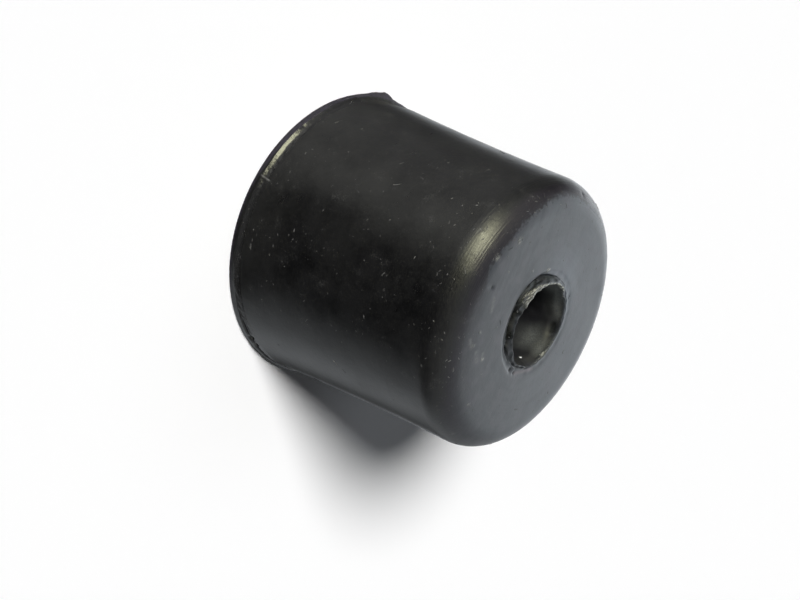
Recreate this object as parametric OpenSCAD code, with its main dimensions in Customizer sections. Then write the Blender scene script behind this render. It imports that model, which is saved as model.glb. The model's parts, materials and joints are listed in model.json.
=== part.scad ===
// Rubber bump stop: a waisted, tapering rubber body moulded in one piece.
// It stands on its wide back face, with the rod bore upright along +Z.
// One outline is turned about the bore's axis. Its stretches are functions, in the
// order that the outline runs: foot, flare, wall, roll, moat, bead and bore.

/* [Body] */
// Length from the back face to the nose face
body_len = 31; // [24:0.5:45]
// Wall diameter carried down to the back face, under the flare
root_d = 37; // [34:0.5:46]
// Wall diameter carried up to the nose face, before the edge is rolled
top_d = 32.2; // [28:0.2:36]
// How far the wall is drawn in at mid-length, from a straight taper
waist_bow = 0.28; // [0.1:0.02:0.8]

/* [Back lip] */
// How far the lip stands out past the root of the wall
lip_out = 0.2; // [0.1:0.05:0.8]
// Height of the lip's straight outer edge
lip_edge = 1; // [0.4:0.1:2.5]
// Radius of the hollow flare from the wall out to the lip
flare_r = 2.5; // [1.6:0.1:6]
// Bevel of the lip's lower corner
lip_bevel = 0.15; // [0.05:0.05:0.3]

/* [Nose] */
// Radius of the rolled edge between the wall and the nose face
nose_r = 3.4; // [1:0.1:4.5]

/* [Rod bore] */
// Diameter of the rod bore
bore_d = 10; // [5:0.5:12]
// Bevel at the bore's back mouth
bore_bevel = 0.6; // [0.2:0.1:1.2]
// Width of the bead of rubber round the nose mouth
bead_w = 0.6; // [0.3:0.05:1]
// Height of the bead's straight side, below its round crest
bead_side = 0.15; // [0.05:0.05:0.6]
// Width of the moat that the bead rises from
moat_w = 0.8; // [0.3:0.1:1.2]
// Depth of the moat
moat_depth = 0.12; // [0.05:0.01:0.25]

/* [Hidden] */

// How finely each arc is cut: degrees a step on the roll and on the small bead,
// and steps in all on the shallow arcs.
roll_step = 5;
bead_step = 15;
flare_steps = 12;
wall_steps = 24;
moat_steps = 6;

root_r = root_d / 2;
top_r = top_d / 2;
bore_r = bore_d / 2;
bead_r = bore_r + bead_w;
lip_r = root_r + lip_out;
crest_z = body_len + bead_side;

// The wall is one large arc, hollow to the outside, through the root and the top.
wall_chord = norm([root_r - top_r, body_len]);
wall_r = wall_chord * wall_chord / (8 * waist_bow) + waist_bow / 2;
wall_mid = [(root_r + top_r) / 2, body_len / 2];
wall_out = [body_len, root_r - top_r] / wall_chord;
wall_c = wall_mid + wall_out * (wall_r - waist_bow);

// The nose roll is tangent to the wall's arc and to the nose face.
roll_z = body_len - nose_r;
roll_x = wall_c[0] - sqrt(pow(wall_r + nose_r, 2) - pow(roll_z - wall_c[1], 2));
roll_c = [roll_x, roll_z];
roll_start = roll_c + (wall_c - roll_c) * nose_r / (wall_r + nose_r);

// The flare is tangent to the wall's arc and runs out at the lip's upper corner.
lip_corner = [lip_r, lip_edge];
flare_c = upper_crossing(wall_c, wall_r - flare_r, lip_corner, flare_r);
flare_end = wall_c + (flare_c - wall_c) * wall_r / (wall_r - flare_r);

// The moat is a shallow hollow, moat_w wide at the nose face, outside the bead.
moat_r = (moat_w * moat_w / 4 + moat_depth * moat_depth) / (2 * moat_depth);
moat_c = [bead_r + moat_w / 2, body_len + moat_r - moat_depth];

// Direction from one point to another, in degrees from 0 to 360.
function heading(from, to) =
    let (turn = atan2(to[1] - from[1], to[0] - from[0]))
    turn < 0 ? turn + 360 : turn;

// Points along an arc about c, from point a to point b, without b itself.
function arc(c, a, b, steps) =
    let (start = heading(c, a), sweep = heading(c, b) - start)
    [for (i = [0 : steps - 1]) c + norm(a - c) * direction(start + sweep * i / steps)];

function direction(turn) = [cos(turn), sin(turn)];

// The upper of the two points where two circles cross.
function upper_crossing(c1, r1, c2, r2) =
    let (
        gap = c2 - c1,
        dist = norm(gap),
        along = (r1 * r1 - r2 * r2 + dist * dist) / (2 * dist),
        side = sqrt(r1 * r1 - along * along),
        foot = c1 + gap * along / dist,
        step = [-gap[1], gap[0]] * side / dist
    )
    step[1] > 0 ? foot + step : foot - step;

// Back face and the lip's straight edge above its bevel.
function foot() = [
    [bore_r + bore_bevel, 0],
    [lip_r - lip_bevel, 0],
    [lip_r, lip_bevel]
];

// Hollow flare from the lip up to the wall.
function flare() = arc(flare_c, lip_corner, flare_end, flare_steps);

// Waisted side wall up to the start of the nose roll.
function wall() = arc(wall_c, flare_end, roll_start, wall_steps);

// Rolled edge, ending on the nose face.
function roll() =
    let (top = [roll_c[0], body_len])
    concat(arc(roll_c, roll_start, top, ceil(90 / roll_step)), [top]);

// Moat in the nose face, ending at the foot of the bead.
function moat() =
    let (inner = [bead_r, body_len])
    concat(arc(moat_c, [bead_r + moat_w, body_len], inner, moat_steps), [inner]);

// Raised bead with a round crest, from its outer side over to the bore.
function bead() =
    arc([bore_r + bead_w / 2, crest_z], [bead_r, crest_z], [bore_r, crest_z], ceil(180 / bead_step));

// Bore wall down to the bevel at the back mouth.
function bore() = [
    [bore_r, crest_z],
    [bore_r, bore_bevel]
];

module rubber_body() {
    color([0.09, 0.09, 0.1])
    rotate_extrude($fn = 120)
    polygon(concat(foot(), flare(), wall(), roll(), moat(), bead(), bore()));
}

rubber_body();
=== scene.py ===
import json
import math
import bpy
import numpy as np
from mathutils import Matrix, Vector, noise


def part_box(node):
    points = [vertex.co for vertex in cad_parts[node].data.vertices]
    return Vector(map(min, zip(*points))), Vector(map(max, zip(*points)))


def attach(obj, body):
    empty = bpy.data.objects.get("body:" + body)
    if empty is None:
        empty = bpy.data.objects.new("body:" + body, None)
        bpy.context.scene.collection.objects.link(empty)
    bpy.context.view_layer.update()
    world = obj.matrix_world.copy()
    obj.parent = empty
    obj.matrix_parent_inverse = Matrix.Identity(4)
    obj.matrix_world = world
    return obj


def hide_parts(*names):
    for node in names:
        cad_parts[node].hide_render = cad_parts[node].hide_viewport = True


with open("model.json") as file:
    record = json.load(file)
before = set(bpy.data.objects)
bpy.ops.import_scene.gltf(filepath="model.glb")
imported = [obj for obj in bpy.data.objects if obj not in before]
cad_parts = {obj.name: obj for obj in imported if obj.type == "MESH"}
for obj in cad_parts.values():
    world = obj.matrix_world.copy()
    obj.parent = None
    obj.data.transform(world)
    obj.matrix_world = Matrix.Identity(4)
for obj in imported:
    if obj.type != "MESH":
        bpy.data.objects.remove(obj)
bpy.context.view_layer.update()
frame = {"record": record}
mm = 0.001
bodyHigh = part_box("rubber_body")[1]
rodBore = next(m for m in frame["record"]["mounts"] if m["name"] == "rod_bore")
boreRadius = rodBore["dims"]["r_mm"] * mm
lipRadius = bodyHigh.x
crestHeight = bodyHigh.z
print("frame loaded: %.1f mm across the lip, %.2f mm tall" % (2 * lipRadius / mm, crestHeight / mm))


def addNode(tree, kind, inputs=None, **settings):
    # an input is linked where a socket is given, and set where a value is
    new = tree.nodes.new(kind)
    for key, value in settings.items():
        setattr(new, key, value)
    for key, value in (inputs or {}).items():
        if isinstance(value, bpy.types.NodeSocket):
            tree.links.new(value, new.inputs[key])
        else:
            new.inputs[key].default_value = value
    return new


def maths(tree, operation, a, b=0.0, clamp=False):
    return addNode(tree, "ShaderNodeMath", {0: a, 1: b}, operation=operation, use_clamp=clamp).outputs[0]


def plus(tree, a, b, clamp=False):
    return maths(tree, "ADD", a, b, clamp)


def minus(tree, a, b):
    return maths(tree, "SUBTRACT", a, b)


def times(tree, first, *others):
    for other in others:
        first = maths(tree, "MULTIPLY", first, other)
    return first


def gather(tree, total, *shares):
    # adds each value times its amount to the total
    for value, amount in shares:
        total = plus(tree, total, times(tree, value, amount))
    return total


def swing(tree, share, amount):
    # a share from 0 to 1, turned into a shift either way
    return times(tree, minus(tree, share, 0.5), amount)


def vectorMaths(tree, operation, inputs, output=0):
    return addNode(tree, "ShaderNodeVectorMath", inputs, operation=operation).outputs[output]


def ramp(tree, value, low, high, toLow=0.0, toHigh=1.0):
    # eased step from toLow at low to toHigh at high
    inputs = {"Value": value, "From Min": low, "From Max": high, "To Min": toLow, "To Max": toHigh}
    return addNode(tree, "ShaderNodeMapRange", inputs, interpolation_type="SMOOTHSTEP").outputs[0]


def atShare(tree, share, low, high):
    # straight from low at 0 to high at 1
    return addNode(tree, "ShaderNodeMapRange", {"Value": share, "To Min": low, "To Max": high}).outputs[0]


def mixColour(tree, share, a, b):
    # sockets 0, 6 and 7 of a colour mix are its factor and its two colours
    return addNode(tree, "ShaderNodeMix", {0: share, 6: a, 7: b}, data_type="RGBA").outputs[2]


def noiseAt(tree, place, scale, detail, output=0):
    inputs = {"Vector": place, "Scale": scale, "Detail": detail}
    return addNode(tree, "ShaderNodeTexNoise", inputs).outputs[output]


def newTree(name, kind, inputs, output, outputKind):
    # an input is named with its start value, or with the kind of socket where it has none
    tree = bpy.data.node_groups.new(name, kind)
    for label, value in inputs.items():
        socketKind = {float: "NodeSocketFloat", int: "NodeSocketInt"}.get(type(value), value)
        socket = tree.interface.new_socket(label, in_out="INPUT", socket_type=socketKind)
        if socketKind != value:
            socket.default_value = value
    tree.interface.new_socket(output, in_out="OUTPUT", socket_type=outputKind)
    return tree, addNode(tree, "NodeGroupInput").outputs, addNode(tree, "NodeGroupOutput")


def finishTree(tree, out, geometry, finish):
    real = addNode(tree, "GeometryNodeRealizeInstances", {"Geometry": geometry}).outputs[0]
    finished = addNode(tree, "GeometryNodeSetMaterial", {"Geometry": real, "Material": finish}).outputs[0]
    tree.links.new(finished, out.inputs[0])
    return tree


def newMaterial(name):
    material = bpy.data.materials.new(name)
    material.use_nodes = True
    material.node_tree.nodes.clear()
    return material, material.node_tree


bodyShape = {
    "beadSide": 0.15 * mm, "beadWidth": 0.6 * mm,      # bead round the nose mouth
    "moatWidth": 0.8 * mm, "moatDepth": 0.12 * mm,     # hollow that the bead rises from
    "lipOut": 0.2 * mm, "lipEdge": 1.0 * mm, "lipBevel": 0.15 * mm, "flareRadius": 2.5 * mm,
    "topRadius": 16.1 * mm, "waistBow": 0.28 * mm,     # side wall
    "noseRadius": 3.4 * mm,                            # rolled edge of the nose
    "boreBevel": 0.6 * mm,
    "visibleBore": 9.0 * mm,                           # finely cut stretch of the bore
    "nearMouth": 3.2 * mm,                             # finely cut ring of the face round the bead
    # how many steps each stretch of the outline is cut into
    "steps": {"back": 9, "bevel": 2, "lip": 9, "flare": 26, "wall": 44, "roll": 24, "face": 13,
              "nearMouth": 15, "moat": 14, "beadSide": 2, "bead": 5,
              "mouth": 22, "throat": 10, "deepBore": 10},
}


def line(a, b, steps):
    return [a.lerp(b, i / steps) for i in range(steps)]


def arc(centre, a, b, steps):
    start = math.atan2(a.y - centre.y, a.x - centre.x)
    end = math.atan2(b.y - centre.y, b.x - centre.x)
    sweep = (end - start + math.pi) % (2 * math.pi) - math.pi
    radius = (a - centre).length
    turns = [start + sweep * i / steps for i in range(steps)]
    return [centre + radius * Vector((math.cos(t), math.sin(t))) for t in turns]


def circlesCross(c1, r1, c2, r2):
    # upper crossing of two circles
    gap = c2 - c1
    along = (r1 * r1 - r2 * r2 + gap.length_squared) / (2 * gap.length)
    side = math.sqrt(r1 * r1 - along * along)
    foot = c1 + gap.normalized() * along
    step = Vector((-gap.y, gap.x)).normalized() * side
    return foot + step if step.y > 0 else foot - step


def bodyOutline(s):
    # radius and height of each point, from the back face out, up the wall, over the nose and down the bore
    faceHeight = crestHeight - s["beadSide"] - s["beadWidth"] / 2
    root = Vector((lipRadius - s["lipOut"], 0))
    top = Vector((s["topRadius"], faceHeight))
    chord = top - root
    wallRadius = chord.length_squared / (8 * s["waistBow"]) + s["waistBow"] / 2
    outward = Vector((chord.y, -chord.x)).normalized()
    wallCentre = (root + top) / 2 + outward * (wallRadius - s["waistBow"])

    rollHeight = faceHeight - s["noseRadius"]
    reach = math.sqrt((wallRadius + s["noseRadius"]) ** 2 - (rollHeight - wallCentre.y) ** 2)
    rollCentre = Vector((wallCentre.x - reach, rollHeight))
    rollStart = rollCentre + (wallCentre - rollCentre).normalized() * s["noseRadius"]
    rollEnd = Vector((rollCentre.x, faceHeight))

    lipCorner = Vector((lipRadius, s["lipEdge"]))
    flareCentre = circlesCross(wallCentre, wallRadius - s["flareRadius"], lipCorner, s["flareRadius"])
    flareEnd = wallCentre + (flareCentre - wallCentre).normalized() * wallRadius

    beadRadius = boreRadius + s["beadWidth"]
    moatOut = Vector((beadRadius + s["moatWidth"], faceHeight))
    moatIn = Vector((beadRadius, faceHeight))
    moatCurve = (s["moatWidth"] ** 2 / 4 + s["moatDepth"] ** 2) / (2 * s["moatDepth"])
    moatCentre = Vector((beadRadius + s["moatWidth"] / 2, faceHeight + moatCurve - s["moatDepth"]))
    beadOut = Vector((beadRadius, faceHeight + s["beadSide"]))
    beadIn = Vector((boreRadius, faceHeight + s["beadSide"]))
    beadTop = Vector((boreRadius + s["beadWidth"] / 2, crestHeight))
    beadCentre = (beadOut + beadIn) / 2
    nearMouth = Vector((beadRadius + s["nearMouth"], faceHeight))

    shallow = Vector((boreRadius, faceHeight - s["visibleBore"] / 2))
    deep = Vector((boreRadius, faceHeight - s["visibleBore"]))
    mouthBack = Vector((boreRadius, s["boreBevel"]))
    footIn = Vector((boreRadius + s["boreBevel"], 0))
    footOut = Vector((lipRadius - s["lipBevel"], 0))
    lipFoot = Vector((lipRadius, s["lipBevel"]))
    n = s["steps"]
    return (line(footIn, footOut, n["back"]) + line(footOut, lipFoot, n["bevel"])
            + line(lipFoot, lipCorner, n["lip"]) + arc(flareCentre, lipCorner, flareEnd, n["flare"])
            + arc(wallCentre, flareEnd, rollStart, n["wall"]) + arc(rollCentre, rollStart, rollEnd, n["roll"])
            + line(rollEnd, nearMouth, n["face"]) + line(nearMouth, moatOut, n["nearMouth"])
            + arc(moatCentre, moatOut, moatIn, n["moat"]) + line(moatIn, beadOut, n["beadSide"])
            + arc(beadCentre, beadOut, beadTop, n["bead"]) + arc(beadCentre, beadTop, beadIn, n["bead"])
            + line(beadIn, shallow, n["mouth"]) + line(shallow, deep, n["throat"])
            + line(deep, mouthBack, n["deepBore"]) + line(mouthBack, footIn, n["bevel"]))


turning = {
    "Segments": 440,
    "Wave Height": 0.05 * mm,    # unevenness of the moulding
    "Wave Size": 9.0 * mm,
    "Flat Foot": 0.2 * mm,       # the unevenness starts here
    "Full Waves": 2 * mm,        # and is whole from here up
    "Merge": 2e-6,    # points closer than this are joined, which closes the lathe's seam
    "Sharp Angle": math.radians(38),
    "Seed": 4.0,
}


def turnedBodyTree():
    # turns the outline round Z, closes it and gives its surface slow waves
    tree, g, out = newTree("turnedBody", "GeometryNodeTree", {
        "Outline": "NodeSocketGeometry", "Segments": 64, "Wave Height": 0.0, "Wave Size": 0.01,
        "Flat Foot": 0.0, "Full Waves": 0.01, "Merge": 0.0, "Sharp Angle": 0.6, "Seed": 0.0,
        "Rubber": "NodeSocketMaterial"}, "Body", "NodeSocketGeometry")
    size = addNode(tree, "GeometryNodeAttributeDomainSize", {"Geometry": g["Outline"]}).outputs
    count = size["Point Count"]
    rows = plus(tree, count, 1.0)
    columns = plus(tree, g["Segments"], 1.0)
    grid = addNode(tree, "GeometryNodeMeshGrid", {"Vertices X": columns, "Vertices Y": rows}).outputs["Mesh"]
    index = addNode(tree, "GeometryNodeInputIndex").outputs[0]
    column = maths(tree, "FLOOR", maths(tree, "DIVIDE", plus(tree, index, 0.5), rows))
    row = minus(tree, index, times(tree, column, rows))
    wrapped = maths(tree, "MODULO", maths(tree, "ROUND", row), count)
    place = addNode(tree, "GeometryNodeInputPosition").outputs[0]
    inputs = {"Geometry": g["Outline"], "Value": place, "Index": wrapped}
    sampled = addNode(tree, "GeometryNodeSampleIndex", inputs, data_type="FLOAT_VECTOR").outputs["Value"]
    turn = times(tree, maths(tree, "DIVIDE", column, g["Segments"]), 2 * math.pi)
    inputs = {"Vector": sampled, "Angle": turn}
    turned = addNode(tree, "ShaderNodeVectorRotate", inputs, rotation_type="Z_AXIS").outputs[0]
    lathed = addNode(tree, "GeometryNodeSetPosition", {"Geometry": grid, "Position": turned}).outputs[0]
    inputs = {"Geometry": lathed, "Distance": g["Merge"]}
    closed = addNode(tree, "GeometryNodeMergeByDistance", inputs).outputs[0]

    scale = maths(tree, "DIVIDE", 1.0, g["Wave Size"])
    inputs = {"Vector": place, "W": g["Seed"], "Scale": scale, "Detail": 2.0}
    wave = addNode(tree, "ShaderNodeTexNoise", inputs, noise_dimensions="4D").outputs[0]
    # the back face stays flat, so that the body still stands on it
    lifted = addNode(tree, "ShaderNodeSeparateXYZ", {0: place}).outputs["Z"]
    standing = ramp(tree, lifted, g["Flat Foot"], g["Full Waves"])
    height = times(tree, swing(tree, wave, g["Wave Height"]), standing)
    normal = addNode(tree, "GeometryNodeInputNormal").outputs[0]
    offset = vectorMaths(tree, "SCALE", {0: normal, "Scale": height})
    waved = addNode(tree, "GeometryNodeSetPosition", {"Geometry": closed, "Offset": offset}).outputs[0]

    angle = addNode(tree, "GeometryNodeInputMeshEdgeAngle").outputs["Unsigned Angle"]
    sharp = maths(tree, "GREATER_THAN", angle, g["Sharp Angle"])
    smooth = addNode(tree, "GeometryNodeSetShadeSmooth", {"Geometry": waved}, domain="FACE").outputs[0]
    inputs = {"Geometry": smooth, "Selection": sharp, "Shade Smooth": False}
    creased = addNode(tree, "GeometryNodeSetShadeSmooth", inputs, domain="EDGE").outputs[0]
    return finishTree(tree, out, creased, g["Rubber"])


def madePlain(name, startMesh, tree, values):
    # runs the tree once on the start mesh and keeps the result as a plain mesh object at the origin
    maker = bpy.data.objects.new(name + "_maker", startMesh)
    bpy.context.scene.collection.objects.link(maker)
    modifier = maker.modifiers.new(name, "NODES")
    modifier.node_group = tree
    identifiers = {item.name: item.identifier for item in tree.interface.items_tree if item.in_out == "INPUT"}
    for label, value in values.items():
        modifier[identifiers[label]] = value
    evaluated = maker.evaluated_get(bpy.context.evaluated_depsgraph_get())
    mesh = bpy.data.meshes.new_from_object(evaluated)
    bpy.data.objects.remove(maker)
    bpy.data.meshes.remove(startMesh)
    mesh.name = name
    piece = bpy.data.objects.new(name, mesh)
    bpy.context.scene.collection.objects.link(piece)
    return piece


def outlineMesh(points):
    mesh = bpy.data.meshes.new("outline")
    mesh.from_pydata([(p.x, 0, p.y) for p in points], [(i, i + 1) for i in range(len(points) - 1)], [])
    return mesh


def acrossAxis(tree, split):
    # the point's place across the bore's axis, and its distance from it
    flat = addNode(tree, "ShaderNodeCombineXYZ", {0: split["X"], 1: split["Y"]}).outputs[0]
    return flat, vectorMaths(tree, "LENGTH", {0: flat}, "Value")


def grainTree():
    # waviness that runs round the turned body: long features along the turn, short ones across it
    tree, g, out = newTree("turnedGrain", "ShaderNodeTree", {
        "Point": "NodeSocketVector", "Along": 6.0, "Across": 0.3, "Detail": 3.0, "Wall Radius": 16.0},
        "Grain", "NodeSocketFloat")
    split = addNode(tree, "ShaderNodeSeparateXYZ", {0: g["Point"]}).outputs
    flat, radius = acrossAxis(tree, split)
    spread = maths(tree, "DIVIDE", g["Wall Radius"], g["Along"])
    turned = vectorMaths(tree, "SCALE", {0: vectorMaths(tree, "NORMALIZE", {0: flat}), "Scale": spread})
    profile = maths(tree, "DIVIDE", minus(tree, split["Z"], radius), g["Across"])
    lifted = addNode(tree, "ShaderNodeCombineXYZ", {2: profile}).outputs[0]
    place = vectorMaths(tree, "ADD", {0: turned, 1: lifted})
    tree.links.new(noiseAt(tree, place, 1.0, g["Detail"]), out.inputs["Grain"])
    return tree


dustBreakup = {"bareEdge": 0.85, "coverShift": 0.5, "patch": 0.65, "speck": 0.45,
               "below": -0.12, "above": 0.10}


def dustTree(s):
    # cloudy patches broken up into fine specks
    tree, g, out = newTree("settledDust", "ShaderNodeTree", {
        "Point": "NodeSocketVector", "Patch Size": 4.0, "Speck Size": 0.3, "Cover": 0.4},
        "Dust", "NodeSocketFloat")
    patch = noiseAt(tree, g["Point"], maths(tree, "DIVIDE", 1.0, g["Patch Size"]), 3.0)
    speck = noiseAt(tree, g["Point"], maths(tree, "DIVIDE", 1.0, g["Speck Size"]), 2.0)
    edge = minus(tree, s["bareEdge"], times(tree, g["Cover"], s["coverShift"]))
    both = gather(tree, times(tree, patch, s["patch"]), (speck, s["speck"]))
    covered = ramp(tree, both, plus(tree, edge, s["below"]), plus(tree, edge, s["above"]))
    tree.links.new(covered, out.inputs["Dust"])
    return tree


def scratchTree():
    # soft-edged mark along the straight line between two points
    tree, g, out = newTree("scratchLine", "ShaderNodeTree", {
        "Point": "NodeSocketVector", "From": "NodeSocketVector", "To": "NodeSocketVector", "Width": 0.15},
        "Mark", "NodeSocketFloat")
    run = vectorMaths(tree, "SUBTRACT", {0: g["To"], 1: g["From"]})
    offset = vectorMaths(tree, "SUBTRACT", {0: g["Point"], 1: g["From"]})
    along = vectorMaths(tree, "DOT_PRODUCT", {0: offset, 1: run}, "Value")
    whole = vectorMaths(tree, "DOT_PRODUCT", {0: run, 1: run}, "Value")
    foot = vectorMaths(tree, "SCALE", {0: run, "Scale": maths(tree, "DIVIDE", along, whole, clamp=True)})
    gap = vectorMaths(tree, "DISTANCE", {0: offset, 1: foot}, "Value")
    tree.links.new(ramp(tree, gap, 0.0, g["Width"], 1.0, 0.0), out.inputs["Mark"])
    return tree


grain = grainTree()
dust = dustTree(dustBreakup)
scratch = scratchTree()


def placeGroup(tree, group, inputs):
    return addNode(tree, "ShaderNodeGroup", inputs, node_tree=group).outputs[0]


def attributeOf(tree, name):
    return addNode(tree, "ShaderNodeAttribute", attribute_name=name).outputs["Fac"]


def pointInMm(tree):
    coords = addNode(tree, "ShaderNodeTexCoord").outputs["Object"]
    return addNode(tree, "ShaderNodeMapping", {"Vector": coords, "Scale": (1000, 1000, 1000)}).outputs[0]


def onWall(turn, height, radius):
    # a spot on the body from its turn in degrees, and its height and radius in mm
    return (radius * math.cos(math.radians(turn)), radius * math.sin(math.radians(turn)), height)


rubberLook = {
    "colours": {
        "wallDark": (0.0032, 0.0032, 0.0034, 1), "wallPale": (0.0070, 0.0070, 0.0072, 1),
        "haze": (0.012, 0.012, 0.0115, 1),
        # lipEdge is painted reflection: the lip's rim is paler, standing in for the pale surface below that
        # it mirrors
        "lipEdge": (0.026, 0.023, 0.032, 1), "cornerDust": (0.020, 0.020, 0.020, 1),
        "band": (0.0062, 0.0050, 0.0070, 1),             # dark worn band on the roll
        "face": (0.058, 0.065, 0.073, 1), "faceDark": (0.022, 0.025, 0.029, 1),
        "facePink": (0.045, 0.043, 0.052, 1),
        # the bore's inside runs from insideDark to inside by dust together with painted light and painted
        # shade
        "inside": (0.074, 0.078, 0.071, 1), "insideDark": (0.010, 0.010, 0.011, 1),
        # pale torn rubber, partly a painted highlight on the mouth's lit edge
        "torn": (0.31, 0.31, 0.26, 1), "tornDark": (0.045, 0.045, 0.040, 1),
        # on the next line, the near-black colour is painted shade for cracks, the lip's crease and dents, and
        # also colours the dark scratches
        "flap": (0.085, 0.072, 0.078, 1), "hollow": (0.002, 0.002, 0.002, 1),
        "dust": (0.11, 0.11, 0.105, 1), "glint": (0.85, 0.86, 0.84, 1),
    },
    # scale per mm, and detail
    "noise": {
        "speck": (2.6, 4.0), "mottle": (0.30, 5.0), "cloud": (0.11, 3.0), "blotch": (0.55, 3.0),
        "powder": (7.0, 2.0), "fine": (3.4, 3.0),
    },
    "grain": {
        "streak": {"Along": 5.0, "Across": 0.22},
        "wideStreak": {"Along": 14.0, "Across": 1.1},
        "torn": {"Along": 1.2, "Across": 0.16, "Detail": 2.0},
    },
    "dust": {
        "haze": {"Patch Size": 4.6, "Speck Size": 0.50, "Cover": 0.54},
        "specks": {"Patch Size": 1.6, "Speck Size": 0.16, "Cover": 0.22},
    },
    # Eased steps: where each starts and ends, then the values there if they aren't 0 and 1. Sizes in mm.
    "steps": {
        # by height
        "nose": (29.2, 29.9), "dullNose": (28.6, 29.6), "boreTop": (30.7, 31.1, 1.0, 0.0),
        "lowHaze": (1.5, 11.0, 0.36, 0.0), "cornerLow": (0.85, 1.0), "cornerHigh": (1.3, 1.9, 1.0, 0.0),
        "shineLow": (0.9, 1.05), "shineHigh": (1.7, 2.1, 1.0, 0.0), "flareTop": (2.0, 4.5, 1.0, 0.0),
        "rollHeight": (26.5, 28.5),
        # by distance from the axis
        "boreWall": (5.2, 5.6, 1.0, 0.0), "rollRadius": (13.0, 14.4),
        # by place from one side to the other
        "faceSoft": (-3.0, 4.0, 0.0, 2.1), "rimTop": (-9.0, 0.0, 1.05, 0.45),
        "cornerSide": (-6.0, 2.0, 0.0, 0.7), "farFlare": (-17.6, -15.0, 0.30, 0.0),
        "rollSide": (-2.0, 3.0, 1.0, 0.1), "smeared": (-3.0, -8.0, 0.04, 0.36),
        # by distance in from an edge
        "band": (-2.4, -1.2), "rim": (-0.08, 0.08, 1.0, 0.0),
        # by a noise or a tone
        "wallMottle": (0.32, 0.68), "faceTone": (0.25, 0.75), "facePink": (0.45, 0.7, 0.0, 0.45),
        "powder": (0.34, 0.66, 0.62, 1.2), "crackPowder": (0.3, 0.7, 1.1, 0.85),
        "rimSpeck": (0.35, 0.6, 0.35, 1.0), "smearSpeck": (0.3, 0.65, 0.1, 0.45), "tornGrain": (0.42, 0.62),
    },
    # how much of each goes into the mix
    "shares": {
        "edgeSpeck": 1.8, "edgeCloud": 1.2, "edgeSoft": 0.28,
        "haze": 0.45, "mottleTone": 0.5, "streakTone": 0.25, "blotchTone": 0.25, "farSideSheen": 0.016,
        "specks": 0.22, "scratch": 0.8, "flap": 0.75, "glint": 1.6,
    },
    "sweep": (0.16, 1.1, 1.0), "sweepDetail": 1.5, "farSideSheenLean": -0.6,
    "gloss": {
        "wall": 0.31, "face": 0.45, "dullFrom": -1.8, "dullTo": 0.2, "dullSoft": -0.35,
        "mottle": 0.16, "streak": 0.06, "dusty": 0.12, "lip": -0.12, "hollow": 0.4, "mirror": 0.52,
    },
    "relief": {    # in mm
        "fine": 0.008, "streak": 0.0015, "rollStreak": 0.036, "mottle": 0.05, "specks": 0.004, "cut": -0.05,
        "torn": 0.12, "lip": 0.035,
    },
}
# Straight marks: ends as turn, height and radius, then width in mm.
paleScratches = (
    ((-107.7, 13.0, 17.1), (-107.0, 13.5, 17.1), 0.14),
    ((-123.4, 18.0, 16.7), (-122.6, 19.0, 16.7), 0.12),
    ((-95.1, 4.4, 17.9), (-94.0, 4.9, 17.9), 0.12),
    ((-152, 31, 6.5), (-157, 31, 6.5), 0.20),
    ((-97.9, 0.9, 18.7), (-97.3, 2.3, 18.1), 0.16),
    ((-88.9, 8.7, 17.5), (-87.4, 9.7, 17.4), 0.13),
    ((-82.6, 14.2, 17.0), (-81.0, 14.6, 17.0), 0.12),
    ((-78.5, 3.6, 18.0), (-76.2, 3.9, 18.0), 0.14),
    ((-63.5, 11.0, 17.3), (-64.2, 11.8, 17.2), 0.14),
)
darkScratches = (
    ((-117.0, 7.0, 17.6), (-112.2, 10.2, 17.3), 0.17),
    ((-128.5, 18.0, 16.7), (-126.5, 18.2, 16.7), 0.14),
)
# soft pale smears on the nose face
smears = (
    ((-61, 31, 10.9), (-55, 31, 10.7), 0.45),
    ((-69.5, 31, 12.3), (-65, 31, 11.9), 0.40),
    ((-57.7, 31, 9.7), (-53.3, 31, 9.8), 0.36),
    ((-93, 31, 10.8), (-86, 31, 10.2), 0.45),
)
# the torn flap below the mouth, and a painted glint: a white spot just inside the bore standing in for a
# highlight there
flap = (((0, 31, 6.05), (34, 31, 6.0), 0.42),)
glints = (((30.4, 29.42, 4.98), (30.7, 29.46, 4.98), 0.17),)


def anyMark(tree, point, marks):
    total = 0.0
    for start, end, width in marks:
        inputs = {"Point": point, "Width": width, "From": onWall(*start), "To": onWall(*end)}
        total = maths(tree, "MAXIMUM", total, placeGroup(tree, scratch, inputs))
    return total


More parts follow.
